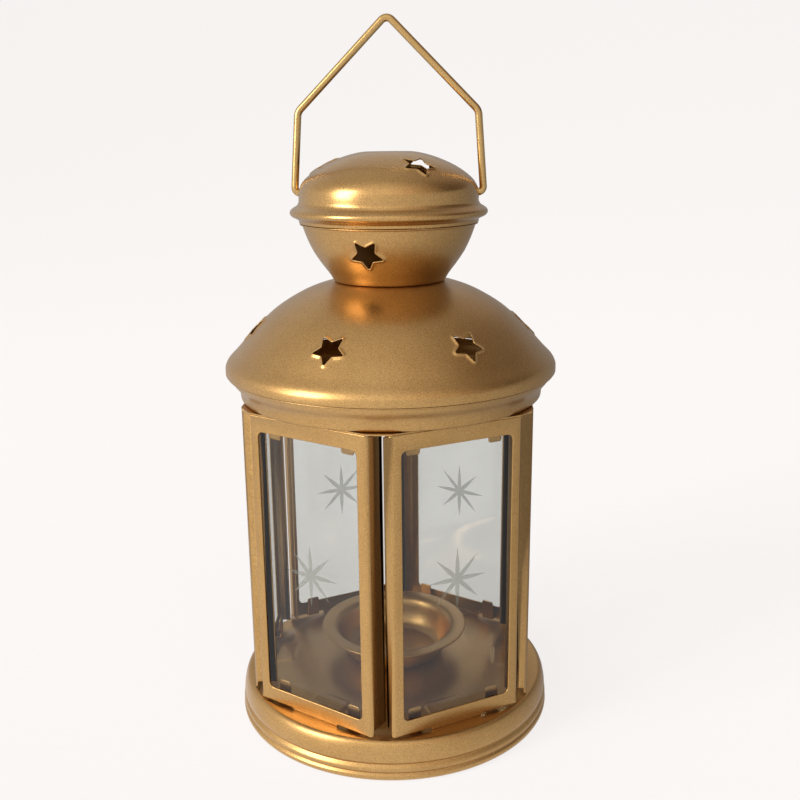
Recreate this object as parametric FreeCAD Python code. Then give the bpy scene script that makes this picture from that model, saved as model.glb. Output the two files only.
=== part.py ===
"""Moroccan metal lantern, built as separate pieces in millimetres, +Z up.

Origin: centre of the flat ring the lantern stands on. Panel 1 faces +X, so
hexagon corners point along +Y and -Y. The handle hinges on a level axis
through the lid, along X.
"""
import FreeCAD, Part
import math
import os

V = FreeCAD.Vector
UP = V(0, 0, 1)

# ---- sheet and glass ----
SHEET = 0.5
GLASS = 2.0

# ---- base pan ----
STAND_R_IN = 56.0
STAND_R_OUT = 57.8
BASE_RING_R = 59.9
BASE_BAND_R = 59.4
BASE_GROOVE_R = 58.75
CREST_R = 57.0
CREST_Z = 14.75
LAND_R_OUT = 54.2
LAND_R_IN = 50.2
LAND_Z = 14.5
CROWN_R = 18.0
CROWN_Z = 19.1
PAD_WIDTH = 15.0
PAD_DEPTH = 9.5
PAD_RISE = 0.6
PAD_INSET = 3.0
PAD_Z = 16.05
PAD_TILT = 10.5

# ---- tealight cup ----
CUP_RIM_R = 28.3
CUP_RIM_Z = 30.65

# ---- glazed panels ----
SIDES = 6
APOTHEM = 51.1
PANEL_HALF = 25.3
PANEL_Z0 = 15.4
PANEL_Z1 = 124.4
WINDOW_HALF = 21.0
WINDOW_Z0 = 20.8
WINDOW_Z1 = 118.6
WINDOW_CORNER = 2.0
FLANGE_LONG = 8.6      # tucks behind the next frame's short flange
FLANGE_SHORT = 5.0
BEND_R = 1.2
FLANGE_LIFT = 2.0
FOOT_WIDTH = 20.0
TOP_TAB_DEPTH = 7.5
CLIP_U = 15.6
CLIP_WIDTH = 5.2
CLIP_TOP_Z = 23.6
CLIP_LOW_Z = 115.9
GLASS_HALF = 24.0
GLASS_Z1 = 123.2

# ---- top plate, collar and roof ----
PLATE_HOLE_R = 40.0
PLATE_R = 56.6
COLLAR_R = 55.15
COLLAR_FLANGE_R = 59.95
ROOF_R = 60.2
ROOF_LIP_Z = 134.2
NECK_HOLE_R = 16.0
NECK_SEAT_R = 19.8
NECK_Z = 166.4

# ---- cap ----
SKIRT_R = 31.9
SKIRT_Z0 = 187.0
SKIRT_Z1 = 188.2
WALL_R = 31.8
WALL_Z0 = 194.4
WALL_Z1 = 196.9
LID_TOP_Z = 211.4

# ---- punched stars: tip radius, waist ratio, azimuths from -Y toward +X ----
STAR_R = 6.05
STAR_WAIST = 0.5
ROOF_STARS = (-80.6, -19.6, 35.4, 96.4, 157.4, 218.4)   # punched by eye, steps vary
ROOF_STAR_AT = (48.7, 149.7)
CONE_STARS = (-11.6, 108.4, 228.4)
CONE_STAR_AT = (27.5, 178.2)
LID_STARS = (31.1, 151.1, 271.1)
LID_STAR_AT = (22.5, 206.9)

# ---- wire handle ----
WIRE_R = 1.3
HOLE_CLEARANCE = 0.3
PIVOT_Z = 197.3
LEG_X = 33.45
SHOULDER_X = 31.4
STUB_X = 28.5
SHOULDER_Z = 224.9
APEX_Z = 256.4
HOOK_BEND = 1.8
SHOULDER_BEND = 4.0
APEX_BEND = 2.5


def point(p):
    """A profile point (radius, height) as a point of the XZ plane."""
    return V(p[0], 0, p[1])


def straight(*points):
    """Straight edges through profile points."""
    return [Part.makeLine(point(a), point(b)) for a, b in zip(points[:-1], points[1:])]


def curve(*points):
    """One smooth edge through profile points."""
    spline = Part.BSplineCurve()
    spline.interpolate([point(p) for p in points])
    return [spline.toShape()]


def turned(edges, side=1, sheet=SHEET):
    """Turn a sheet about Z from its outer profile; side picks the offset direction."""
    wire = Part.Wire(Part.__sortEdges__(edges))
    band = wire.makeOffset2D(side * sheet, openResult=True, fill=True)
    outline = band.Faces[0].OuterWire if band.Faces else band.Wires[0]
    clean = []
    for edge in outline.Edges:
        ends = (edge.Vertexes[0].Point, edge.Vertexes[-1].Point)
        if isinstance(edge.Curve, Part.Line):
            clean.append(Part.makeLine(*ends))
            continue
        count = max(6, int(edge.Length / 0.8))
        spline = Part.BSplineCurve()
        spline.interpolate(edge.discretize(count))
        clean.append(spline.toShape())
    face = Part.Face(Part.Wire(Part.__sortEdges__(clean)))
    return solid_of(face.revolve(V(0, 0, 0), UP, 360))


def turned_area(points):
    """Turn a closed profile about Z."""
    face = Part.Face(Part.makePolygon([point(p) for p in points + (points[0],)]))
    return solid_of(face.revolve(V(0, 0, 0), UP, 360))


def solid_of(shape):
    """The single solid of a shape."""
    solids = shape.Solids
    if not solids:
        solids = [Part.Solid(shape.Shells[0])]
    if len(solids) != 1:
        raise ValueError("expected one solid, got %d" % len(solids))
    body = solids[0]
    if body.Volume < 0:
        body.reverse()
    return body


def block(x0, x1, y0, y1, z0, z1):
    return Part.makeBox(x1 - x0, y1 - y0, z1 - z0, V(x0, y0, z0))


def rounded_plate(x0, x1, y0, y1, z0, z1, radius, axis):
    """A box with its edges along axis rounded."""
    box = block(x0, x1, y0, y1, z0, z1)
    along = [e for e in box.Edges if abs(abs(e.tangentAt(e.FirstParameter).dot(axis)) - 1) < 1e-6]
    return box.makeFillet(radius, along)


def star_punch(at, slope, azimuth):
    """A five-pointed prism through a shell, one tip pointing down the slope.

    at is the profile point, slope the profile's direction there as
    (radius, height) going downhill, azimuth degrees from -Y toward +X.
    """
    turn = math.radians(azimuth - 90)
    radial = V(math.cos(turn), math.sin(turn), 0)
    across = V(-math.sin(turn), math.cos(turn), 0)
    length = math.hypot(slope[0], slope[1])
    down = radial * (slope[0] / length) + UP * (slope[1] / length)
    outward = down.cross(across)
    if outward.dot(radial) < 0:
        outward = -outward
    centre = radial * at[0] + UP * at[1]
    ring = []
    for i in range(10):
        reach = STAR_R if i % 2 == 0 else STAR_R * STAR_WAIST
        a = math.pi * i / 5
        ring.append(centre - outward * 5 + down * (reach * math.cos(a)) + across * (reach * math.sin(a)))
    ring.append(ring[0])
    return Part.Face(Part.makePolygon(ring)).extrude(outward * 10)


# ---------------------------------------------------------------- base pan
def base_shell():
    crown = curve((CROWN_R, CROWN_Z), (24.0, 18.65), (32.0, 17.85), (40.0, 16.65), (46.0, 15.5),
                  (LAND_R_IN, LAND_Z))
    top = straight((0, CROWN_Z), (CROWN_R, CROWN_Z)) + crown
    top += straight((LAND_R_IN, LAND_Z), (LAND_R_OUT, LAND_Z))
    shoulder = curve((LAND_R_OUT, LAND_Z), (55.6, CREST_Z), (CREST_R, CREST_Z), (57.9, 14.0),
                     (58.6, 12.5), (59.1, 10.5), (BASE_BAND_R, 8.4))
    groove = curve((BASE_BAND_R, 8.4), (59.25, 7.3), (BASE_GROOVE_R, 6.2), (59.3, 5.2))
    ring = curve((59.3, 5.2), (BASE_RING_R, 3.6), (59.6, 1.6), (58.7, 0.4), (STAND_R_OUT, 0))
    hem = straight((STAND_R_OUT, 0), (STAND_R_IN, 0))
    pan = turned(top + shoulder + groove + ring + hem, -1)
    # six low pads pressed up just inside the panel feet, keeping the glass body central
    pad = rounded_plate(-PAD_DEPTH / 2, PAD_DEPTH / 2, -PAD_WIDTH / 2, PAD_WIDTH / 2,
                        -0.35, PAD_RISE, 1.6, UP)
    pad.rotate(V(0, 0, 0), V(0, 1, 0), PAD_TILT)
    pad.translate(V(APOTHEM - PAD_INSET - PAD_DEPTH / 2, 0, PAD_Z))
    for k in range(SIDES):
        one = pad.copy()
        one.rotate(V(0, 0, 0), UP, 360 / SIDES * k)
        pan = pan.fuse(one)
    return solid_of(pan)


def tealight_cup():
    floor = straight((0, CROWN_Z), (16.4, CROWN_Z), (17.2, CROWN_Z + 0.3))
    heel = curve((17.2, CROWN_Z + 0.3), (18.4, 20.1), (19.5, 21.3), (20.2, 22.4))
    wall = curve((20.2, 22.4), (21.2, 25.2), (22.0, 28.6), (22.9, 29.8), (24.2, CUP_RIM_Z - SHEET))
    rim = straight((24.2, CUP_RIM_Z - SHEET), (CUP_RIM_R, CUP_RIM_Z - SHEET))
    return turned(floor + heel + wall + rim, 1)


# ---------------------------------------------------------------- glazed panels
def panel_section():
    """Cross-section of a frame: a face with both long edges folded inward, one deeper."""
    x = APOTHEM
    h = PANEL_HALF
    b = BEND_R
    q = b * math.sqrt(0.5)

    def bend(sign):
        centre = V(x - b, sign * (h - b), 0)
        start = V(x - b, sign * h, 0)
        middle = centre + V(q, sign * q, 0)
        return Part.Arc(start, middle, V(x, sign * (h - b), 0)).toShape()

    edges = [Part.makeLine(V(x - FLANGE_SHORT, -h, 0), V(x - b, -h, 0)), bend(-1)]
    edges += [Part.makeLine(V(x, -h + b, 0), V(x, h - b, 0)), bend(1)]
    edges += [Part.makeLine(V(x - b, h, 0), V(x - FLANGE_LONG, h, 0))]
    wire = Part.Wire(Part.__sortEdges__(edges))
    flat = wire.makeOffset2D(-SHEET, openResult=True, fill=True)
    face = flat.Faces[0]
    if face.BoundBox.YMax > h + 0.1:
        face = wire.makeOffset2D(SHEET, openResult=True, fill=True).Faces[0]
    return face


def panel_frame():
    x = APOTHEM
    inner = x - SHEET
    face = panel_section()
    face.translate(V(0, 0, PANEL_Z0))
    frame = face.extrude(UP * (PANEL_Z1 - PANEL_Z0))
    window = rounded_plate(x - 1, x + 1, -WINDOW_HALF, WINDOW_HALF, WINDOW_Z0, WINDOW_Z1,
                           WINDOW_CORNER, V(1, 0, 0))
    frame = frame.cut(window)
    # flanges stop short of the bottom edge and are clipped off at the top corner
    for sign in (-1, 1):
        y = sorted((sign * (PANEL_HALF - SHEET - 0.3), sign * (PANEL_HALF + 1)))
        frame = frame.cut(block(x - 10, x - BEND_R, y[0], y[1], PANEL_Z0 - 1, PANEL_Z0 + FLANGE_LIFT))
        corner = [V(x - 10, y[0], PANEL_Z1 + 1), V(x - BEND_R, y[0], PANEL_Z1 + 1)]
        corner += [V(x - BEND_R, y[0], PANEL_Z1 - 0.3), V(x - 10, y[0], PANEL_Z1 - 1.6)]
        corner.append(corner[0])
        wedge = Part.Face(Part.makePolygon(corner)).extrude(V(0, y[1] - y[0], 0))
        frame = frame.cut(wedge)
    # a foot down to the pan, a seat folded under the top plate
    half = FOOT_WIDTH / 2
    frame = frame.fuse(block(inner, x, -half, half, LAND_Z, PANEL_Z0 + 1))
    frame = frame.fuse(block(x - TOP_TAB_DEPTH, inner + 0.1, -half, half, PANEL_Z1 - SHEET, PANEL_Z1))
    # four clips folded round the back of the glass
    back = inner - GLASS
    for sign in (-1, 1):
        y0 = sign * CLIP_U - CLIP_WIDTH / 2
        y1 = sign * CLIP_U + CLIP_WIDTH / 2
        shelf = block(back - SHEET, inner + 0.1, y0, y1, PANEL_Z0, PANEL_Z0 + SHEET)
        tongue = rounded_plate(back - SHEET, back, y0, y1, PANEL_Z0 - 2, CLIP_TOP_Z, 1.0, V(1, 0, 0))
        tongue = tongue.cut(block(back - 2, x, y0 - 1, y1 + 1, PANEL_Z0 - 3, PANEL_Z0))
        frame = frame.fuse(shelf).fuse(tongue)
        shelf = block(back - SHEET, inner + 0.1, y0, y1, PANEL_Z1 - SHEET, PANEL_Z1)
        tongue = rounded_plate(back - SHEET, back, y0, y1, CLIP_LOW_Z, PANEL_Z1 + 2, 1.0, V(1, 0, 0))
        tongue = tongue.cut(block(back - 2, x, y0 - 1, y1 + 1, PANEL_Z1, PANEL_Z1 + 3))
        frame = frame.fuse(shelf).fuse(tongue)
    return solid_of(frame.removeSplitter())


def glass_pane():
    x1 = APOTHEM - SHEET
    return block(x1 - GLASS, x1, -GLASS_HALF, GLASS_HALF, PANEL_Z0 + SHEET, GLASS_Z1)


# ---------------------------------------------------------------- collar and roof
def top_plate():
    """A plate on top of the six frames: a hexagon with its corners turned off."""
    reach = APOTHEM / math.cos(math.pi / SIDES)
    corners = [V(reach * math.cos(math.pi * (2 * k + 1) / SIDES),
                 reach * math.sin(math.pi * (2 * k + 1) / SIDES), PANEL_Z1) for k in range(SIDES)]
    plate = Part.Face(Part.makePolygon(corners + corners[:1])).extrude(UP * SHEET)
    plate = plate.common(Part.makeCylinder(PLATE_R, SHEET, V(0, 0, PANEL_Z1)))
    return solid_of(plate.cut(Part.makeCylinder(PLATE_HOLE_R, SHEET, V(0, 0, PANEL_Z1))))


def collar_ring():
    z0 = PANEL_Z1 + SHEET
    top = ROOF_LIP_Z - SHEET
    hem = straight((51.5, z0), (54.1, z0))
    wall = curve((54.1, z0), (54.9, 125.3), (COLLAR_R, 126.2), (COLLAR_R + 0.05, 127.4), (56.0, 129.4),
                 (57.3, 131.0), (58.4, 132.5), (58.9, top))
    flange = straight((58.9, top), (COLLAR_FLANGE_R, top))
    return turned(hem + wall + flange, 1)


def roof_dome():
    seat = straight((NECK_HOLE_R, NECK_Z), (NECK_SEAT_R, NECK_Z))
    dome = curve((NECK_SEAT_R, NECK_Z), (26.0, 164.7), (32.1, 162.2), (41.6, 156.4), (50.2, 148.4),
                 (56.6, 141.4), (59.3, 138.6), (ROOF_R, 136.8))
    lip = straight((ROOF_R, 136.8), (ROOF_R, ROOF_LIP_Z))
    shell = turned(seat + dome + lip, -1)
    for azimuth in ROOF_STARS:
        shell = shell.cut(star_punch(ROOF_STAR_AT, (1.0, -0.98), azimuth))
    return solid_of(shell)


# ---------------------------------------------------------------- cap
def cap_cone():
    seat = straight((NECK_HOLE_R, NECK_Z), (19.2, NECK_Z))
    heel = curve((19.2, NECK_Z), (20.0, 166.7), (20.4, 167.4))
    cone = curve((20.4, 167.4), (21.3, 168.9), (24.2, 172.8), (26.9, 176.9), (28.9, 181.0),
                 (30.4, 185.0), (30.9, SKIRT_Z0 - SHEET))
    flange = straight((30.9, SKIRT_Z0 - SHEET), (SKIRT_R - 0.1, SKIRT_Z0 - SHEET))
    shell = turned(seat + heel + cone + flange, 1)
    for azimuth in CONE_STARS:
        shell = shell.cut(star_punch(CONE_STAR_AT, (-0.5, -1.0), azimuth))
    return solid_of(shell)


def cap_lid():
    dome = curve((0, LID_TOP_Z - 0.3), (4.5, LID_TOP_Z - 0.1), (9.0, LID_TOP_Z - 0.1), (15.3, 209.9),
                 (21.2, 207.6), (24.8, 205.7), (27.8, 203.6), (30.2, 201.3), (31.45, 198.9),
                 (WALL_R, WALL_Z1))
    wall = straight((WALL_R, WALL_Z1), (WALL_R, WALL_Z0))
    bead = curve((WALL_R, WALL_Z0), (32.5, 193.2), (33.8, 192.4), (34.8, 191.6), (35.1, 190.6),
                 (34.5, 189.6), (33.1, 188.9), (SKIRT_R, SKIRT_Z1))
    skirt = straight((SKIRT_R, SKIRT_Z1), (SKIRT_R, SKIRT_Z0))
    shell = turned(dome + wall + bead + skirt, -1)
    for azimuth in LID_STARS:
        shell = shell.cut(star_punch(LID_STAR_AT, (1.0, -0.45), azimuth))
    axle = Part.makeCylinder(WIRE_R + HOLE_CLEARANCE, 80, V(-40, 0, PIVOT_Z), V(1, 0, 0))
    return solid_of(shell.cut(axle))


def rounded_path(corners, radii):
    """Edges through corner points, each inner corner rounded by its radius."""
    edges = []
    last = corners[0]
    for i in range(1, len(corners) - 1):
        here = corners[i]
        into = (here - corners[i - 1]).normalize()
        away = (corners[i + 1] - here).normalize()
        half = into.getAngle(away) / 2
        back = radii[i - 1] * math.tan(half)
        start = here - into * back
        end = here + away * back
        middle = here + (away - into).normalize() * (radii[i - 1] / math.cos(half) - radii[i - 1])
        edges.append(Part.makeLine(last, start))
        edges.append(Part.Arc(start, middle, end).toShape())
        last = end
    edges.append(Part.makeLine(last, corners[-1]))
    return edges


def handle_wire():
    corners = [V(-STUB_X, 0, PIVOT_Z), V(-LEG_X, 0, PIVOT_Z), V(-SHOULDER_X, 0, SHOULDER_Z),
               V(0, 0, APEX_Z), V(SHOULDER_X, 0, SHOULDER_Z), V(LEG_X, 0, PIVOT_Z),
               V(STUB_X, 0, PIVOT_Z)]
    radii = [HOOK_BEND, SHOULDER_BEND, APEX_BEND, SHOULDER_BEND, HOOK_BEND]
    spine = Part.Wire(rounded_path(corners, radii))
    section = Part.Wire([Part.makeCircle(WIRE_R, corners[0], V(-1, 0, 0))])
    wire = spine.makePipeShell([section], True, False)
    return solid_of(wire)


def main():
    nodes = {
        "base_shell": base_shell(),
        "tealight_cup": tealight_cup(),
        "top_plate": top_plate(),
        "collar_ring": collar_ring(),
        "roof_dome": roof_dome(),
        "cap_cone": cap_cone(),
        "cap_lid": cap_lid(),
        "handle_wire": handle_wire(),
    }
    frame = panel_frame()
    pane = glass_pane()
    for k in range(SIDES):
        for name, shape in (("panel_frame", frame), ("glass_pane", pane)):
            turned_copy = shape.copy()
            turned_copy.rotate(V(0, 0, 0), UP, 360 / SIDES * k)
            nodes["%s_%d" % (name, k + 1)] = turned_copy
    os.makedirs("parts", exist_ok=True)
    for name, shape in nodes.items():
        if not shape.isValid():
            raise ValueError(name + " is not a valid solid")
        shape.exportStep("parts/%s.step" % name)
        box = shape.BoundBox
        print("%-15s volume %9.1f  x %.2f..%.2f  y %.2f..%.2f  z %.2f..%.2f" % (
            name, shape.Volume, box.XMin, box.XMax, box.YMin, box.YMax, box.ZMin, box.ZMax))


main()
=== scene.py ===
"""Looks for the hexagonal glass tealight lantern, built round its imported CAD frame.

Sheet parts are rebuilt as thin pressed metal: two skins with rounded edges, the
stars punched through with their lips raised. Lengths below are millimetres.
"""
import bpy
import bmesh
import math
from mathutils import Matrix, Vector
from mathutils.geometry import delaunay_2d_cdt


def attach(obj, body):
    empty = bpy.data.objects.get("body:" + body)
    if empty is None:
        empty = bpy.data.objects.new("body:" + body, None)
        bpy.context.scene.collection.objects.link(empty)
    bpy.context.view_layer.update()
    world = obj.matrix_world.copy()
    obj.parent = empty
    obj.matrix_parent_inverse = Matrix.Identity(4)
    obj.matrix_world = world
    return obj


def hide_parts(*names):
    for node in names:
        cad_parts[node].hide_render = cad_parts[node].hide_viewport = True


MM = 0.001

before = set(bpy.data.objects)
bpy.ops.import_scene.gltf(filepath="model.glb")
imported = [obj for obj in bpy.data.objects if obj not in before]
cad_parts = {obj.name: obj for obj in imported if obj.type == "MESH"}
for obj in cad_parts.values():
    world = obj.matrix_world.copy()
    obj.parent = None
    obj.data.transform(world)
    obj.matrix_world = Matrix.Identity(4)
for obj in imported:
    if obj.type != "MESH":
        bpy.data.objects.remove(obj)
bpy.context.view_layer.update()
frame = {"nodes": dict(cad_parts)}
nodes = frame["nodes"]
scene = bpy.context.scene

# ---- sheet ----
SHEET = 0.5
FOLD_SOFT = 0.45          # half the length over which a pressed corner is rounded
RIM_STEPS = 3             # points round the half-circle of a cut sheet edge

# ---- main sizes ----
SIDES = 6
APOTHEM = 51.1
PANEL_HALF = 25.3
PANEL_Z0 = 15.4
PANEL_Z1 = 124.4
WINDOW_HALF = 21.0
WINDOW_Z0 = 20.8
WINDOW_Z1 = 118.6
WINDOW_CORNER = 2.0
BEND_R = 1.2
FLANGE_LONG = 8.6
FLANGE_SHORT = 5.0
FLANGE_LIFT = 2.0
FOOT_HALF = 10.0
LAND_Z = 14.5
GLASS = 2.0
CLIP_U = 15.6
CLIP_HALF = 2.6
CLIP_TOP_Z = 23.6
CLIP_LOW_Z = 115.9
CROWN_Z = 19.1
CUP_RIM_Z = 30.65
ROOF_LIP_Z = 134.2
NECK_Z = 166.4
SKIRT_Z0 = 187.0
WALL_R = 31.8
PIVOT_Z = 197.3
HOLE_R = 1.6               # the wire's radius and its clearance

# ---- punched stars: reach, waist, softening and lip ----
STAR_R = 6.05
STAR_WAIST = 0.5
TIP_SOFT = 0.35
WAIST_SOFT = 0.9
LIP_HEIGHT = 0.45
LIP_WIDTH = 1.3
ROOF_STARS = (-80.6, -19.6, 35.4, 96.4, 157.4, 218.4)
CONE_STARS = (-11.6, 108.4, 228.4)
LID_STARS = (31.1, 151.1, 271.1)

# ---- etched stars on the glass ----
ETCH_Z = 69.8
ETCH_RAY = 12.0
ETCH_WAIST = 2.0
ETCH_DEPTH = 0.04


# ------------------------------------------------------------------ shader helper
class Tree:
    """A small wrapper that keeps shader node code short."""

    def __init__(self, name):
        self.material = bpy.data.materials.new(name)
        self.material.use_nodes = True
        self.nodes = self.material.node_tree.nodes
        self.links = self.material.node_tree.links
        self.nodes.clear()
        self.output = self.nodes.new("ShaderNodeOutputMaterial")

    def add(self, kind, values=None, **settings):
        node = self.nodes.new("ShaderNode" + kind)
        for key, value in settings.items():
            setattr(node, key, value)
        for key, value in (values or {}).items():
            if isinstance(value, bpy.types.NodeSocket):
                self.links.new(value, node.inputs[key])
            else:
                node.inputs[key].default_value = value
        return node

    def math(self, operation, *values):
        return self.add("Math", dict(enumerate(values)), operation=operation).outputs[0]

    def multiply(self, a, b):
        return self.add("Mix", {0: 1.0, 6: a, 7: b}, data_type="RGBA", blend_type="MULTIPLY").outputs[2]

    def noise(self, place, scale, detail=2.0, roughness=0.5):
        return self.add("TexNoise", {"Vector": place, "Scale": scale, "Detail": detail,
                                     "Roughness": roughness}).outputs["Fac"]

    def ramp(self, value, *stops):
        node = self.add("ValToRGB", {"Fac": value})
        ramp = node.color_ramp
        for index, (place, colour) in enumerate(stops):
            stop = ramp.elements[index] if index < 2 else ramp.elements.new(place)
            stop.position = place
            stop.color = tuple(colour) + (1.0,)
        return node.outputs["Color"]

    def finish(self, shader):
        self.links.new(shader, self.output.inputs["Surface"])
        return self.material


# ------------------------------------------------------------------ materials
def gold_paint(name, tint, roughness, coat, grit):
    """Sprayed metallic gold: fine bright flake under a thin clear binder."""
    t = Tree(name)
    place = t.add("TexCoord").outputs["Object"]
    flake = t.noise(place, FLAKE_SCALE, 2.0, 0.6)
    cloud = t.noise(place, 60.0, 3.0)
    deep = tuple(c * 0.74 for c in tint)
    light = tuple(min(1.0, c * 1.28) for c in tint)
    grain = t.ramp(flake, (0.34, deep), (0.68, light))
    patch = t.ramp(cloud, (0.3, (0.92, 0.89, 0.84)), (0.7, (1.0, 1.0, 1.0)))
    rough = t.math("MULTIPLY_ADD", flake, 0.16, roughness - 0.08)
    bump = t.add("Bump", {"Strength": grit, "Distance": 0.00005, "Height": flake})
    peel_height = t.noise(place, 420.0, 1.0)
    peel = t.add("Bump", {"Strength": 0.08, "Distance": 0.0001, "Height": peel_height})
    shader = t.add("BsdfPrincipled", {
        "Base Color": t.multiply(grain, patch), "Metallic": 1.0, "Roughness": rough,
        "Normal": bump.outputs["Normal"], "Coat Weight": coat, "Coat Roughness": 0.12,
        "Coat IOR": 1.5, "Coat Normal": peel.outputs["Normal"]})
    return t.finish(shader.outputs["BSDF"])


def sheet_glass(name):
    """Clear float glass: light passes straight through, with a grey-green cast."""
    t = Tree(name)
    smear = t.noise(t.add("TexCoord").outputs["Object"], 45.0, 2.0)
    cast = t.ramp(smear, (0.35, (0.872, 0.878, 0.868)), (0.7, (0.890, 0.896, 0.888)))
    clear = t.add("BsdfTransparent", {"Color": cast})
    gloss = t.add("BsdfGlossy", {"Roughness": 0.02, "Color": (1, 1, 1, 1)})
    facing = t.add("LayerWeight", {"Blend": 0.5}).outputs["Facing"]
    grazing = t.math("POWER", facing, 5.0)
    share = t.math("MULTIPLY_ADD", grazing, 0.3, 0.035)
    glass = t.add("MixShader", {0: share, 1: clear.outputs[0], 2: gloss.outputs[0]})
    return t.finish(glass.outputs[0])


def etched_glass(name):
    """The frosted stars: pale grey, part see-through, slightly mottled."""
    t = Tree(name)
    mottle = t.noise(t.add("TexCoord").outputs["Object"], 900.0, 2.0)
    colour = t.ramp(mottle, (0.3, (0.48, 0.48, 0.42)), (0.7, (0.56, 0.56, 0.49)))
    frost = t.add("BsdfDiffuse", {"Color": colour, "Roughness": 1.0})
    glow = t.add("BsdfTranslucent", {"Color": colour})
    milky = t.add("MixShader", {0: 0.5, 1: frost.outputs[0], 2: glow.outputs[0]})
    clear = t.add("BsdfTransparent", {"Color": (0.95, 0.955, 0.95, 1.0)})
    mixed = t.add("MixShader", {0: 0.25, 1: clear.outputs[0], 2: milky.outputs[0]})
    return t.finish(mixed.outputs[0])


def set_material(obj, material):
    obj.data.materials.clear()
    obj.data.materials.append(material)


GOLD = (0.545, 0.325, 0.120)
FLAKE_SCALE = 3300.0
gold = gold_paint("gold_paint", GOLD, 0.34, 0.25, 0.26)
lid_gold = gold_paint("gold_paint_lid", GOLD, 0.27, 0.3, 0.05)
wire_gold = gold_paint("gold_wire", (0.56, 0.36, 0.135), 0.24, 0.5, 0.16)
glass = sheet_glass("clear_glass")
etched = etched_glass("etched_glass")

CARRIED = {"glass": glass, "handle": wire_gold}
for name, node in nodes.items():
    set_material(node, CARRIED.get(name.split("_")[0], gold))


# ------------------------------------------------------------------ pieces
def piece(name, bm, body, slot, material, *replaced):
    """Finish a mesh drawn in millimetres as a named piece riding on a body."""
    bmesh.ops.remove_doubles(bm, verts=bm.verts, dist=1e-4)
    bmesh.ops.recalc_face_normals(bm, faces=bm.faces)
    for face in bm.faces:
        face.smooth = True
    mesh = bpy.data.meshes.new(name)
    bm.to_mesh(mesh)
    bm.free()
    mesh.transform(Matrix.Scale(MM, 4))
    obj = bpy.data.objects.new(name, mesh)
    scene.collection.objects.link(obj)
    set_material(obj, material)
    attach(obj, body)
    if replaced:
        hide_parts(*replaced)
    return obj


def catmull(points, step=0.25):
    """A smooth line through profile points, as closely spaced points."""
    p = [Vector(q) for q in points]
    ends = [p[0] * 2 - p[1]] + p + [p[-1] * 2 - p[-2]]
    out = []
    for i in range(1, len(ends) - 2):
        a, b, c, d = ends[i - 1:i + 3]
        count = max(2, int((c - b).length / step))
        ta, tc, td = (b - a).length ** 0.5, (c - b).length ** 0.5, (d - c).length ** 0.5
        m0 = (c - b) + ((b - a) / ta - (c - a) / (ta + tc)) * tc
        m1 = (c - b) + ((d - c) / td - (d - b) / (tc + td)) * tc
        for k in range(count):
            u = k / count
            out.append(b * (2 * u ** 3 - 3 * u ** 2 + 1) + m0 * (u ** 3 - 2 * u ** 2 + u)
                       + c * (3 * u ** 2 - 2 * u ** 3) + m1 * (u ** 3 - u ** 2))
    return out + [p[-1]]


class Profile:
    """The outer line of a turned sheet, evenly sampled, its corners rounded."""

    STEP = 0.1

    def __init__(self, parts, side, soft=FOLD_SOFT):
        raw = []
        for part in parts:
            line = catmull(part) if len(part) > 2 else [Vector(q) for q in part]
            raw += [q for q in line if not raw or (q - raw[-1]).length > 1e-6]
        even = self.even(raw)
        reach = max(1, int(soft / self.STEP))
        for _ in range(2):
            even = self.averaged(even, reach)
        self.points = self.even(even)
        self.side = side
        self.length = (len(self.points) - 1) * self.STEP

    def even(self, line):
        out = [line[0]]
        left = self.STEP
        for a, b in zip(line[:-1], line[1:]):
            span = (b - a).length
            at = left
            while at <= span:
                out.append(a.lerp(b, at / span))
                at += self.STEP
            left = at - span
        return out

    @staticmethod
    def averaged(line, reach):
        out = []
        last = len(line) - 1
        for i in range(len(line)):
            r = min(reach, i, last - i)
            out.append(sum(line[i - r:i + r + 1], Vector((0, 0))) / (2 * r + 1))
        return out

    def at(self, s):
        f = min(max(s / self.STEP, 0.0), len(self.points) - 1.0001)
        i = int(f)
        return self.points[i].lerp(self.points[i + 1], f - i)

    def along(self, s):
        return (self.at(s + 0.12) - self.at(s - 0.12)).normalized()

    def outward(self, s):
        t = self.along(s)
        return Vector((-t.y, t.x)) * self.side

    def rows(self, start, stop, longest, turn=math.radians(9)):
        """Places along the line: close together where it bends, else up to longest apart."""
        out = [start]
        here = start
        heading = self.along(start)
        while here < stop - 0.12:
            here += self.STEP
            if here - out[-1] >= longest or self.along(here).angle(heading) > turn:
                out.append(here)
                heading = self.along(here)
        if stop - out[-1] > 0.02:
            out.append(stop)
        return out

    def find(self, r, z):
        """The place along the line nearest to a profile point."""
        target = Vector((r, z))
        nearest = min(range(len(self.points)), key=lambda i: (self.points[i] - target).length)
        return nearest * self.STEP


def rounded_loop(corners, radii, arc_points, edge_points):
    """A closed outline with each corner turned into an arc."""
    count = len(corners)
    arcs = []
    for i in range(count):
        here = corners[i]
        into = (here - corners[i - 1]).normalized()
        away = (corners[(i + 1) % count] - here).normalized()
        bend = into.angle_signed(away)
        back = radii[i] * math.tan(abs(bend) / 2)
        start = here - into * back
        sign = 1.0 if bend > 0 else -1.0
        normal = Vector((into.y, -into.x)) * sign
        centre = start + normal * radii[i]
        arc = []
        for k in range(arc_points):
            a = -bend * k / (arc_points - 1)
            spoke = start - centre
            arc.append(centre + Vector((spoke.x * math.cos(a) - spoke.y * math.sin(a),
                                        spoke.x * math.sin(a) + spoke.y * math.cos(a))))
        arcs.append(arc)
    loop = []
    for i in range(count):
        loop += arcs[i]
        follow = arcs[(i + 1) % count][0]
        for k in range(1, edge_points + 1):
            loop.append(arcs[i][-1].lerp(follow, k / (edge_points + 1)))
    return loop


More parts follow.
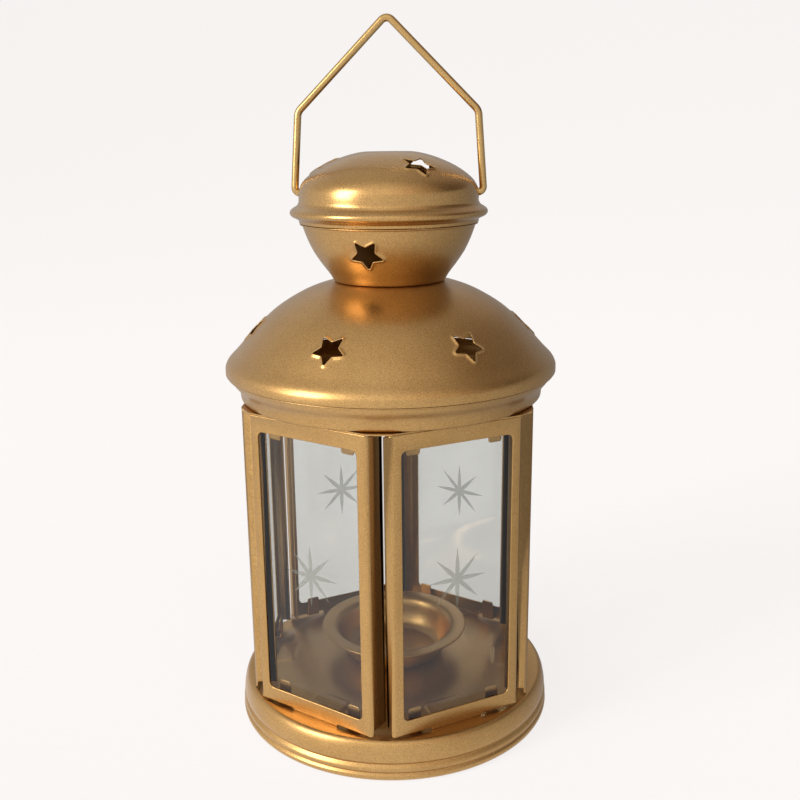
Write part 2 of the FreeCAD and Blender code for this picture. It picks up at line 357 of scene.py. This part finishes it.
def star_loop(grow):
    """The punched star's outline moved outward by grow; x across, y downhill."""
    tip_a = Vector((0, STAR_R))
    waist_a = Vector((math.sin(math.pi / 5), math.cos(math.pi / 5))) * STAR_R * STAR_WAIST
    flat = abs(tip_a.cross(waist_a)) / (tip_a - waist_a).length
    scale = (flat + grow) / flat
    corners = []
    radii = []
    for i in range(10):
        reach = STAR_R * scale * (1.0 if i % 2 == 0 else STAR_WAIST)
        a = math.pi * i / 5
        corners.append(Vector((math.sin(a), math.cos(a))) * reach)
        radii.append(TIP_SOFT + grow if i % 2 == 0 else max(0.25, WAIST_SOFT - grow * 0.5))
    return rounded_loop(corners, radii, 7, 4)


def round_loop(grow):
    """The handle's hole, moved outward by grow."""
    reach = HOLE_R + grow
    return [Vector((math.sin(a), math.cos(a))) * reach
            for a in (2 * math.pi * k / 32 for k in range(32))]


def inside(point, loop):
    """Whether a flat point is inside a closed outline."""
    hit = False
    for a, b in zip(loop, loop[1:] + loop[:1]):
        if (a.y > point.y) != (b.y > point.y):
            if point.x < a.x + (point.y - a.y) * (b.x - a.x) / (b.y - a.y):
                hit = not hit
    return hit


def rim(thickness):
    """Steps round a cut edge: (share of half thickness outward, depth)."""
    half = thickness / 2
    turns = [math.pi * (k + 1) / (RIM_STEPS + 1) for k in range(RIM_STEPS)]
    return [(half * math.sin(a), half * (1 - math.cos(a))) for a in turns]


def turned_sheet(profile, columns, longest, thickness=SHEET, punches=(), relief=None, fine=None):
    """A pressed sheet turned about Z, with holes punched through it.

    punches are (outline function, azimuth from -Y toward +X, place along the
    profile, lip height, lip width); relief lifts points of the sheet.
    """
    bm = bmesh.new()
    half = thickness / 2
    start = 0.0 if profile.at(0).x < 0.01 else half
    rows = profile.rows(start, profile.length - half, longest)
    if fine:
        low, high, gap = fine
        extra = [low + gap * k for k in range(int((high - low) / gap) + 1)]
        rows = sorted([s for s in rows if s < low - gap / 2 or s > high + gap / 2] + extra)

    def place(theta, s, depth, push=0.0):
        base = profile.at(s) - profile.outward(s) * depth + profile.along(s) * push
        x = base.x * math.cos(theta)
        y = base.x * math.sin(theta)
        lift = relief(x, y) if relief else 0.0
        return Vector((x, y, base.y + lift))

    section = [(s, 0.0, 0.0) for s in rows]
    section += [(rows[-1], depth, out) for out, depth in rim(thickness)]
    section += [(s, thickness, 0.0) for s in reversed(rows)]
    if start > 0:
        section += [(rows[0], depth, -out) for out, depth in reversed(rim(thickness))]
    step = 2 * math.pi / columns
    count = len(rows)
    back = len(section) - 1 if start == 0 else len(section)
    inner_first = count + RIM_STEPS

    holes = []
    for outline, azimuth, centre_s, height, width in punches:
        theta0 = math.radians(azimuth - 90)
        radius = profile.at(centre_s).x
        reach = max(v.length for v in outline(width)) + 1.6
        c0 = math.floor((theta0 - reach / radius) / step)
        c1 = math.ceil((theta0 + reach / radius) / step)
        r0 = max(i for i, s in enumerate(rows) if s <= centre_s - reach)
        r1 = min([i for i, s in enumerate(rows) if s >= centre_s + reach] or [count - 1])
        holes.append((outline, theta0, centre_s, height, width, c0, c1, r0, r1))

    def punched(row, column):
        for hole in holes:
            c0, c1, r0, r1 = hole[5:]
            if r0 <= row < r1 and (column - c0) % columns < c1 - c0:
                return True
        return False

    # the plain grid of both skins and their rims
    grid = [[bm.verts.new(place(step * c, *entry)) for c in range(columns)] for entry in section]
    for i in range(back):
        j = (i + 1) % len(section)
        skin_row = i if i < count - 1 else None
        if inner_first <= i < inner_first + count - 1:
            skin_row = count - 2 - (i - inner_first)
        for c in range(columns):
            if skin_row is not None and punched(skin_row, c):
                continue
            d = (c + 1) % columns
            bm.faces.new((grid[i][c], grid[j][c], grid[j][d], grid[i][d]))

    for outline, theta0, centre_s, height, width, c0, c1, r0, r1 in holes:
        radius = profile.at(centre_s).x

        def on_sheet(q, depth, flat=False):
            """q is (across, downhill); flat points use the patch's own scale."""
            s = centre_s + q.y
            return place(theta0 + q.x / (radius if flat else profile.at(s).x), s, depth)

        def flatten(q):
            return Vector((q.x * radius / profile.at(centre_s + q.y).x, q.y))

        def lift(grow):
            u = min(1.0, max(0.0, grow / width))
            return height * (1 - u * u * (3 - 2 * u))

        # rings from the flat sheet up the lip, round the cut edge and down inside
        grows = [half + (width - half) * f for f in (1.0, 0.8, 0.62, 0.46, 0.32, 0.2, 0.1, 0.0)]
        ring_spec = [(g, -lift(g)) for g in grows]
        ring_spec += [(half - out, depth - lift(half)) for out, depth in rim(thickness)]
        ring_spec += [(g, thickness - lift(g)) for g in reversed(grows)]
        rings = [[bm.verts.new(on_sheet(q, depth)) for q in outline(grow)] for grow, depth in ring_spec]
        size = len(rings[0])
        for a, b in zip(rings[:-1], rings[1:]):
            for k in range(size):
                m = (k + 1) % size
                bm.faces.new((a[k], a[m], b[m], b[k]))

        # flat triangles between the outer ring and the grid
        outer = [flatten(q) for q in outline(width)]
        clear = [flatten(q) for q in outline(width + 0.5)]
        border = [(c, r0) for c in range(c0, c1)] + [(c1, r) for r in range(r0, r1)]
        border += [(c, r1) for c in range(c1, c0, -1)] + [(c0, r) for r in range(r1, r0, -1)]

        def cell(c, r):
            return Vector(((step * c - theta0) * radius, rows[r] - centre_s))

        flat = [cell(c, r) for c, r in border]
        n_border = len(flat)
        flat += outer
        for c in range(c0 + 1, c1):
            for r in range(r0 + 1, r1):
                q = cell(c, r)
                if not inside(q, clear):
                    flat.append(q)
        edges = [(k, (k + 1) % n_border) for k in range(n_border)]
        edges += [(n_border + k, n_border + (k + 1) % size) for k in range(size)]
        verts, _, faces, *_ = delaunay_2d_cdt(flat, edges, [], 0, 1e-7)
        for depth in (0.0, thickness):
            made = [bm.verts.new(on_sheet(q, depth, flat=True)) for q in verts]
            for tri in faces:
                middle = (verts[tri[0]] + verts[tri[1]] + verts[tri[2]]) / 3
                if not inside(middle, outer):
                    bm.faces.new([made[k] for k in tri])
            for v in made:
                if not v.link_faces:
                    bm.verts.remove(v)
    for v in [v for v in bm.verts if not v.link_faces]:
        bm.verts.remove(v)
    return bm


def star_punches(azimuths, s):
    return [(star_loop, azimuth, s, LIP_HEIGHT, LIP_WIDTH) for azimuth in azimuths]


# ------------------------------------------------------------------ folded sheets
def inset(loop, by):
    """A closed outline (counter-clockwise) moved inward by a small distance."""
    out = []
    for i, here in enumerate(loop):
        into = (here - loop[i - 1]).normalized()
        away = (loop[(i + 1) % len(loop)] - here).normalized()
        n0 = Vector((-into.y, into.x))
        n1 = Vector((-away.y, away.x))
        middle = (n0 + n1).normalized()
        out.append(here + middle * (by / max(0.3, middle.dot(n0))))
    return out


def split(loop, xs, zs):
    """Add points where an outline crosses any of the given lines."""
    out = []
    for i, a in enumerate(loop):
        b = loop[(i + 1) % len(loop)]
        cuts = []
        for axis, lines in ((0, xs), (1, zs)):
            for value in lines:
                if min(a[axis], b[axis]) + 1e-4 < value < max(a[axis], b[axis]) - 1e-4:
                    cuts.append((value - a[axis]) / (b[axis] - a[axis]))
        out.append(a)
        out += [a.lerp(b, f) for f in sorted(cuts)]
    return out


def softened(corners, soft):
    """A closed outline with every corner rounded to the same radius."""
    points = [Vector(c) for c in corners]
    return rounded_loop(points, [soft] * len(points), 5, 0)


def flat_sheet(bm, loops, xs, zs, place, thickness=SHEET):
    """Two skins and rounded edges from a flat pattern; place(x, z, depth) folds it.

    The first loop is the outside, counter-clockwise; the others are holes, clockwise.
    """
    half = thickness / 2
    hold = 0.2
    flat = []
    edges = []
    kept = []
    for loop in loops:
        edge = split(loop, xs, zs)
        skin = inset(edge, half)
        kept.append(inset(edge, half + hold))
        steps = [(kept[-1], 0.0), (skin, 0.0)]
        steps += [([a.lerp(b, out / half) for a, b in zip(skin, edge)], depth)
                  for out, depth in rim(thickness)]
        steps += [(skin, thickness), (kept[-1], thickness)]
        rings = [[bm.verts.new(place(q.x, q.y, depth)) for q in ring] for ring, depth in steps]
        size = len(edge)
        for a, b in zip(rings[:-1], rings[1:]):
            for k in range(size):
                m = (k + 1) % size
                bm.faces.new((a[k], a[m], b[m], b[k]))
        first = len(flat)
        flat += kept[-1]
        edges += [(first + k, first + (k + 1) % size) for k in range(size)]
    for axis, lines in ((0, xs), (1, zs)):
        for value in lines:
            ends = sorted({round(q[1 - axis], 4) for ring in kept for q in ring
                           if abs(q[axis] - value) < 2e-3})
            for low, high in zip(ends[:-1], ends[1:]):
                pair = []
                for end in (low, high):
                    q = (value, end) if axis == 0 else (end, value)
                    near = min(range(len(flat)), key=lambda k: (flat[k] - Vector(q)).length)
                    pair.append(near)
                middle = (flat[pair[0]] + flat[pair[1]]) / 2
                if inside(middle, kept[0]) and not any(inside(middle, hole) for hole in kept[1:]):
                    edges.append(tuple(pair))
    verts, _, faces, *_ = delaunay_2d_cdt(flat, edges, [], 0, 1e-6)
    for depth in (0.0, thickness):
        made = [bm.verts.new(place(q.x, q.y, depth)) for q in verts]
        for tri in faces:
            middle = (verts[tri[0]] + verts[tri[1]] + verts[tri[2]]) / 3
            if inside(middle, kept[0]) and not any(inside(middle, hole) for hole in kept[1:]):
                bm.faces.new([made[k] for k in tri])
        for v in made:
            if not v.link_faces:
                bm.verts.remove(v)


def bend_places(start, radius, sign=1, steps=5):
    """Lines across a fold: one just before it, along its arc and just after it."""
    arc = radius * math.pi / 2
    return [start - sign * 0.25] + [start + sign * arc * k / steps for k in range(steps + 1)] \
        + [start + sign * (arc + 0.25)]


def face_fold(x, z, depth):
    """The frame's face and its two flanges, folded back round a bend."""
    start = PANEL_HALF - BEND_R
    past = abs(x) - start
    sign = 1 if x >= 0 else -1
    arc = BEND_R * math.pi / 2
    if past <= 0:
        return Vector((APOTHEM - depth, x, z))
    if past < arc:
        a = past / BEND_R
        r = BEND_R - depth
        return Vector((APOTHEM - BEND_R + r * math.cos(a), sign * (start + r * math.sin(a)), z))
    return Vector((APOTHEM - BEND_R - (past - arc), sign * (PANEL_HALF - depth), z))


def clip_fold(centre, edge_z, up):
    """A glass clip: a shelf in from the frame's edge, then a tongue behind the glass."""
    radius = 0.6
    arc = radius * math.pi / 2
    shelf = GLASS + SHEET - radius
    back = APOTHEM - SHEET - GLASS - SHEET

    def place(along, out, depth):
        if out < shelf:
            return Vector((APOTHEM - SHEET - out, centre + along, edge_z + up * depth))
        out -= shelf
        if out < arc:
            a = out / radius
            r = radius - depth
            return Vector((back + radius - r * math.sin(a), centre + along,
                           edge_z + up * (radius - r * math.cos(a))))
        return Vector((back + depth, centre + along, edge_z + up * (radius + out - arc)))
    return place, shelf, arc


def panel_mesh(turn):
    """One glazed panel's frame with its foot, top tab and four glass clips."""
    bm = bmesh.new()
    arc = BEND_R * math.pi / 2
    start = PANEL_HALF - BEND_R
    low = -(start + arc + FLANGE_SHORT - BEND_R)
    high = start + arc + FLANGE_LONG - BEND_R
    relief = start + arc + 0.1
    outline = [(-FOOT_HALF, PANEL_Z0), (-FOOT_HALF, LAND_Z), (FOOT_HALF, LAND_Z), (FOOT_HALF, PANEL_Z0),
               (relief, PANEL_Z0), (relief, PANEL_Z0 + FLANGE_LIFT), (high, PANEL_Z0 + FLANGE_LIFT),
               (high, PANEL_Z1 - 1.6), (relief, PANEL_Z1 - 0.3), (start, PANEL_Z1 - 0.05),
               (-start, PANEL_Z1 - 0.05), (-relief, PANEL_Z1 - 0.3), (low, PANEL_Z1 - 1.6),
               (low, PANEL_Z0 + FLANGE_LIFT), (-relief, PANEL_Z0 + FLANGE_LIFT), (-relief, PANEL_Z0)]
    window = rounded_loop([Vector(c) for c in ((-WINDOW_HALF, WINDOW_Z0), (-WINDOW_HALF, WINDOW_Z1),
                                               (WINDOW_HALF, WINDOW_Z1), (WINDOW_HALF, WINDOW_Z0))],
                          [WINDOW_CORNER] * 4, 9, 0)
    xs = bend_places(start, BEND_R) + bend_places(-start, BEND_R, -1)
    flat_sheet(bm, [softened(outline, 0.3), window], xs, [], face_fold)
    # the seat folded in under the top plate
    tab = softened([(-FOOT_HALF, 0), (FOOT_HALF, 0), (FOOT_HALF, 7.0), (-FOOT_HALF, 7.0)], 0.6)
    flat_sheet(bm, [tab], [], [],
               lambda x, out, depth: Vector((APOTHEM - SHEET - out, x, PANEL_Z1 - 0.02 - depth)))
    for side in (-1, 1):
        for edge_z, up, tip in ((PANEL_Z0, 1, CLIP_TOP_Z), (PANEL_Z1, -1, CLIP_LOW_Z)):
            place, shelf, bend = clip_fold(side * CLIP_U, edge_z, up)
            end = shelf + bend + abs(tip - edge_z) - 0.6
            strip = rounded_loop([Vector(c) for c in ((-CLIP_HALF, 0.0), (CLIP_HALF, 0.0),
                                                      (CLIP_HALF, end), (-CLIP_HALF, end))],
                                 [0.3, 0.3, 1.0, 1.0], 6, 0)
            flat_sheet(bm, [strip], [], bend_places(shelf, 0.6), place)
    bmesh.ops.rotate(bm, verts=bm.verts, cent=(0, 0, 0), matrix=Matrix.Rotation(turn, 3, "Z"))
    return bm


def etched_star(turn):
    """An eight-rayed star frosted into the outside of a pane, as a very thin layer."""
    bm = bmesh.new()
    corners = []
    radii = []
    for i in range(16):
        a = math.pi * i / 8
        reach = ETCH_RAY if i % 2 == 0 else ETCH_WAIST
        corners.append(Vector((math.sin(a), math.cos(a))) * reach)
        radii.append(0.05 if i % 2 == 0 else 0.12)
    loop = rounded_loop(corners, radii, 4, 6)
    loop.reverse()
    # the rays keep their width for half their length, then taper
    for q in loop:
        reach = q.length
        share = max(0.0, min(1.0, (reach - ETCH_WAIST) / (ETCH_RAY - ETCH_WAIST)))
        a = math.atan2(q.x, q.y)
        ray = round(a / (math.pi / 4)) * math.pi / 4
        away = a - ray
        wide = 1.0 + 0.55 * math.sin(math.pi * min(1.0, share * 1.02)) if share < 0.98 else 1.0
        q.x = math.sin(ray + away * wide) * reach
        q.y = math.cos(ray + away * wide) * reach
    outer = APOTHEM - SHEET
    count = len(loop)
    verts, _, faces, *_ = delaunay_2d_cdt(loop, [(k, (k + 1) % count) for k in range(count)], [], 0, 1e-6)
    skins = []
    for lift in (0.002, ETCH_DEPTH):
        skins.append([bm.verts.new((outer + lift, q.x, ETCH_Z + q.y)) for q in verts])
        for tri in faces:
            middle = (verts[tri[0]] + verts[tri[1]] + verts[tri[2]]) / 3
            if inside(middle, loop):
                bm.faces.new([skins[-1][k] for k in tri])
    for k in range(count):
        m = (k + 1) % count
        bm.faces.new((skins[0][k], skins[0][m], skins[1][m], skins[1][k]))
    bmesh.ops.rotate(bm, verts=bm.verts, cent=(0, 0, 0), matrix=Matrix.Rotation(turn, 3, "Z"))
    return bm


# ------------------------------------------------------------------ base pan and cup
PAD_HALF = 7.5
PAD_R0 = 38.6
PAD_R1 = 48.1
PAD_LIFT = 0.75


def soft_step(value, low, high):
    u = min(1.0, max(0.0, (value - low) / (high - low)))
    return u * u * (3 - 2 * u)


def pad_lift(x, y):
    """Height of the six pressed pads at a point of the pan."""
    radius = math.hypot(x, y)
    if radius < PAD_R0 - 3 or radius > PAD_R1 + 4:
        return 0.0
    turn = math.pi * 2 / SIDES
    a = (math.atan2(y, x) + turn / 2) % turn - turn / 2
    across = abs(radius * math.sin(a)) - PAD_HALF
    along = abs(radius * math.cos(a) - (PAD_R0 + PAD_R1) / 2) - (PAD_R1 - PAD_R0) / 2
    corner = 1.8
    outside = Vector((max(across + corner, 0.0), max(along + corner, 0.0))).length - corner
    edge = max(outside, min(max(across, along), 0.0) if outside <= 0 else outside)
    return PAD_LIFT * (1 - soft_step(edge, -0.9, 0.1))


pan_line = Profile([
    ((0, CROWN_Z), (18, CROWN_Z)),
    ((18, CROWN_Z), (24, 18.65), (32, 17.85), (40, 16.65), (46, 15.5), (50.2, LAND_Z)),
    ((50.2, LAND_Z), (54.2, LAND_Z)),
    ((54.2, LAND_Z), (55.6, 14.75), (57, 14.75), (57.9, 14), (58.6, 12.5), (59.1, 10.5), (59.4, 8.4)),
    ((59.4, 8.4), (59.2, 7.3), (58.6, 6.5)),
    ((58.6, 6.5), (59.4, 5.7), (59.75, 4.8), (59.55, 3.9), (59.0, 3.3)),
    ((59.0, 3.3), (59.7, 2.7), (59.9, 1.9), (59.5, 0.9), (58.7, 0.3), (57.8, 0)),
    ((57.8, 0), (56.0, 0))], side=1, soft=0.2)
pad_zone = (pan_line.find(36.6, 17.2), pan_line.find(50.0, 14.6), 0.45)
piece("base_pan", turned_sheet(pan_line, 480, 2.5, relief=pad_lift, fine=pad_zone),
      "base", "gold_paint", gold, "base_shell")

cup_line = Profile([
    ((0, CROWN_Z), (16.4, CROWN_Z)), ((16.4, CROWN_Z), (17.2, CROWN_Z + 0.3)),
    ((17.2, CROWN_Z + 0.3), (18.4, 20.1), (19.5, 21.3), (20.2, 22.4)),
    ((20.2, 22.4), (21.2, 25.2), (22.0, 28.6), (22.9, 29.8), (24.2, CUP_RIM_Z - SHEET)),
    ((24.2, CUP_RIM_Z - SHEET), (28.3, CUP_RIM_Z - SHEET))], side=-1, soft=0.3)
piece("candle_cup", turned_sheet(cup_line, 192, 1.5), "base", "gold_paint", gold, "tealight_cup")

# ------------------------------------------------------------------ glazed panels
for side in range(SIDES):
    turn = 2 * math.pi * side / SIDES
    label = str(side + 1)
    piece("window_frame_" + label, panel_mesh(turn), "lantern_body", "gold_paint", gold,
          "panel_frame_" + label)
    piece("etched_star_" + label, etched_star(turn), "lantern_body", "clear_glass", etched)

# ------------------------------------------------------------------ collar, roof and cap
collar_line = Profile([
    ((51.5, 124.9), (54.1, 124.9)),
    ((54.1, 124.9), (54.9, 125.3), (55.15, 126.2), (55.2, 127.4), (56.0, 129.4), (57.3, 131.0),
     (58.4, 132.5), (58.9, ROOF_LIP_Z - SHEET)),
    ((58.9, ROOF_LIP_Z - SHEET), (59.95, ROOF_LIP_Z - SHEET))], side=-1, soft=0.3)
piece("collar", turned_sheet(collar_line, 240, 1.2), "lantern_body", "gold_paint", gold, "collar_ring")

roof_line = Profile([
    ((16.0, NECK_Z), (19.8, NECK_Z)),
    ((19.8, NECK_Z), (26.0, 164.7), (32.1, 162.2), (41.6, 156.4), (50.2, 148.4), (56.6, 141.4),
     (59.3, 138.6), (60.2, 136.8)),
    ((60.2, 136.8), (60.2, ROOF_LIP_Z))], side=1)
roof_punches = star_punches(ROOF_STARS, roof_line.find(48.7, 149.7))
piece("roof", turned_sheet(roof_line, 240, 1.5, punches=roof_punches),
      "lantern_body", "gold_paint", gold, "roof_dome")

cone_line = Profile([
    ((16.0, NECK_Z), (19.2, NECK_Z)),
    ((19.2, NECK_Z), (20.0, 166.7), (20.4, 167.4)),
    ((20.4, 167.4), (21.3, 168.9), (24.2, 172.8), (26.9, 176.9), (28.9, 181.0), (30.4, 185.0),
     (30.9, SKIRT_Z0 - SHEET)),
    ((30.9, SKIRT_Z0 - SHEET), (31.8, SKIRT_Z0 - SHEET))], side=-1, soft=0.3)


def cone_star(grow):
    """The same star seen from a profile that runs uphill."""
    return [Vector((q.x, -q.y)) for q in star_loop(grow)]


cone_s = cone_line.find(27.5, 178.2)
cone_punches = [(cone_star, azimuth, cone_s, LIP_HEIGHT, LIP_WIDTH) for azimuth in CONE_STARS]
piece("cap_cone_shell", turned_sheet(cone_line, 192, 1.1, punches=cone_punches),
      "lantern_body", "gold_paint", gold, "cap_cone")

lid_line = Profile([
    ((0, 211.1), (4.5, 211.3), (9.0, 211.3), (15.3, 209.9), (21.2, 207.6), (24.8, 205.7),
     (27.8, 203.6), (30.2, 201.3), (31.45, 198.9), (WALL_R, 196.9)),
    ((WALL_R, 196.9), (WALL_R, 194.4)),
    ((WALL_R, 194.4), (32.5, 193.2), (33.8, 192.4), (34.8, 191.6), (35.1, 190.6), (34.5, 189.6),
     (33.1, 188.9), (31.9, 188.2)),
    ((31.9, 188.2), (31.9, SKIRT_Z0))], side=1, soft=0.3)
lid_punches = star_punches(LID_STARS, lid_line.find(22.5, 206.9))
wire_s = lid_line.find(WALL_R, PIVOT_Z)
lid_punches += [(round_loop, 90 + half, wire_s, 0.12, 0.6) for half in (0, 180)]
piece("cap_lid_shell", turned_sheet(lid_line, 192, 1.1, punches=lid_punches),
      "lantern_body", "gold_paint", lid_gold, "cap_lid")

# ------------------------------------------------------------------ stage, light and camera
PAPER = (0.968, 0.940, 0.930)   # the paper's brightness as seen
PAPER_GLOW = 0.85
ROOM_LEVEL = 0.62
ROOM_RIGHT = -0.58
ROOM_RIGHT_TINT = (1.0, 0.78, 0.66, 1.0)
ROOM_TINT = (1.0, 0.975, 0.945, 1.0)
ROOM_LEAST = 0.12
ROOM_MOST = 1.3
GLOW_LEVEL = 0.67               # the floor as the metal sees it
GLOW_RIGHT = -0.22
GLOW_BACK = -0.29
GLOW_LEAST = 0.20
ROOM_LEFT = 0.05
ROOM_FRONT = 0.75


def floor_sheet():
    """A pale floor that curves up far away into an all-round backdrop."""
    bm = bmesh.new()
    line = [(0.0, 0.0), (0.6, 0.0), (1.2, 0.0), (1.8, 0.0)]
    line += [(1.8 + 1.2 * math.sin(a), 1.2 - 1.2 * math.cos(a))
             for a in (math.pi / 2 * k / 16 for k in range(1, 17))]
    around = 96
    turns = [2 * math.pi * c / around for c in range(around)]
    rings = [[bm.verts.new((r * math.cos(a), r * math.sin(a), z)) for a in turns] for r, z in line]
    for a, b in zip(rings[:-1], rings[1:]):
        for c in range(around):
            d = (c + 1) % around
            bm.faces.new((a[c], b[c], b[d], a[d]))
    bmesh.ops.remove_doubles(bm, verts=bm.verts, dist=1e-6)
    for face in bm.faces:
        face.smooth = True
    mesh = bpy.data.meshes.new("floor")
    bm.to_mesh(mesh)
    bm.free()
    floor = bpy.data.objects.new("floor", mesh)
    scene.collection.objects.link(floor)
    t = Tree("pale_floor")
    place = t.add("TexCoord").outputs["Object"]
    grain = t.noise(place, 300.0)
    colour = t.ramp(grain, (0.3, (0.150, 0.146, 0.144)), (0.7, (0.158, 0.154, 0.152)))
    paper = t.add("BsdfDiffuse", {"Color": colour, "Roughness": 0.9})
    shine = t.add("Emission", {"Color": PAPER + (1.0,), "Strength": PAPER_GLOW})
    seen = t.add("AddShader", {0: paper.outputs[0], 1: shine.outputs[0]})
    # what the metal sees: brighter to the front left, dim to the right
    away = t.add("VectorMath", {0: place}, operation="NORMALIZE").outputs[0]
    split_xyz = t.add("SeparateXYZ", {0: away})
    level = t.math("MULTIPLY_ADD", split_xyz.outputs["X"], GLOW_RIGHT, GLOW_LEVEL)
    level = t.math("MULTIPLY_ADD", split_xyz.outputs["Y"], GLOW_BACK, level)
    level = t.math("MAXIMUM", level, GLOW_LEAST)
    glow = t.add("Emission", {"Color": (1.0, 0.985, 0.98, 1.0), "Strength": level})
    direct = t.add("LightPath").outputs["Is Camera Ray"]
    both = t.add("MixShader", {0: direct, 1: glow.outputs[0], 2: seen.outputs[0]})
    material = t.finish(both.outputs[0])
    material.cycles.emission_sampling = "NONE"
    set_material(floor, material)


def soft_light(name, azimuth, elevation, distance, size, power, colour=(1.0, 0.985, 0.96)):
    """A soft box aimed at the lantern; azimuth is degrees from -Y toward +X."""
    a = math.radians(azimuth - 90.0)
    e = math.radians(elevation)
    target = Vector((0.0, 0.0, 0.12))
    ray = Vector((math.cos(a) * math.cos(e), math.sin(a) * math.cos(e), math.sin(e)))
    data = bpy.data.lights.new(name, "AREA")
    data.shape = "RECTANGLE"
    data.size, data.size_y = size
    data.energy = power
    data.color = colour
    light = bpy.data.objects.new(name, data)
    light.location = target + ray * distance
    light.rotation_euler = ray.to_track_quat("Z", "Y").to_euler()
    scene.collection.objects.link(light)


def room_light():
    """The room above the paper: bright in front, dimmer and warmer to the right."""
    world = bpy.data.worlds.new("room")
    scene.world = world
    world.use_nodes = True
    tree = world.node_tree
    nodes = tree.nodes
    links = tree.links

    def math_node(operation, *values):
        node = nodes.new("ShaderNodeMath")
        node.operation = operation
        for index, value in enumerate(values):
            if isinstance(value, bpy.types.NodeSocket):
                links.new(value, node.inputs[index])
            else:
                node.inputs[index].default_value = value
        return node.outputs[0]

    apart = nodes.new("ShaderNodeSeparateXYZ")
    links.new(nodes.new("ShaderNodeTexCoord").outputs["Generated"], apart.inputs[0])
    x, y = apart.outputs["X"], apart.outputs["Y"]
    right = math_node("MAXIMUM", x, 0.0)
    left = math_node("MAXIMUM", math_node("MULTIPLY", x, -1.0), 0.0)
    front = math_node("MAXIMUM", math_node("MULTIPLY", y, -1.0), 0.0)
    level = math_node("MULTIPLY_ADD", right, ROOM_RIGHT, ROOM_LEVEL)
    level = math_node("MULTIPLY_ADD", left, ROOM_LEFT, level)
    level = math_node("MULTIPLY_ADD", front, ROOM_FRONT, level)
    level = math_node("MINIMUM", math_node("MAXIMUM", level, ROOM_LEAST), ROOM_MOST)
    soft = nodes["Background"]
    tint = nodes.new("ShaderNodeMix")
    tint.data_type = "RGBA"
    links.new(right, tint.inputs[0])
    tint.inputs[6].default_value = ROOM_TINT
    tint.inputs[7].default_value = ROOM_RIGHT_TINT
    links.new(tint.outputs[2], soft.inputs["Color"])
    links.new(level, soft.inputs["Strength"])
    seen = nodes.new("ShaderNodeBackground")
    seen.inputs["Color"].default_value = PAPER + (1.0,)
    seen.inputs["Strength"].default_value = 1.0
    mix = nodes.new("ShaderNodeMixShader")
    links.new(nodes.new("ShaderNodeLightPath").outputs["Is Camera Ray"], mix.inputs[0])
    links.new(soft.outputs[0], mix.inputs[1])
    links.new(seen.outputs[0], mix.inputs[2])
    links.new(mix.outputs[0], nodes["World Output"].inputs["Surface"])


def camera_at(distance, azimuth, height, heading, pitch, roll, lens, left):
    """A camera by its place round the axis and its heading; angles in degrees."""
    a, h, p, r = (math.radians(v) for v in (azimuth, heading, pitch, roll))
    ahead = Vector((math.cos(h) * math.cos(p), math.sin(h) * math.cos(p), math.sin(p)))
    right = ahead.cross(Vector((0, 0, 1))).normalized()
    above = right.cross(ahead)
    x = right * math.cos(r) + above * math.sin(r)
    y = above * math.cos(r) - right * math.sin(r)
    data = bpy.data.cameras.new("camera")
    data.lens = lens
    data.sensor_width = 36.0
    data.clip_start = 0.01
    camera = bpy.data.objects.new("camera", data)
    turn = Matrix((x, y, -ahead)).transposed().to_4x4()
    place = Vector((distance * math.cos(a), distance * math.sin(a), height)) - x * left
    camera.matrix_world = Matrix.Translation(place) @ turn
    scene.collection.objects.link(camera)
    scene.camera = camera


floor_sheet()
room_light()
soft_light("key", -54.0, 22.0, 1.2, (0.45, 0.7), 9.0)
camera_at(distance=0.3603, azimuth=-85.63, height=0.2163, heading=93.89, pitch=-14.77,
          roll=-0.59, lens=44.95, left=-0.00025)
scene.view_settings.view_transform = "Standard"
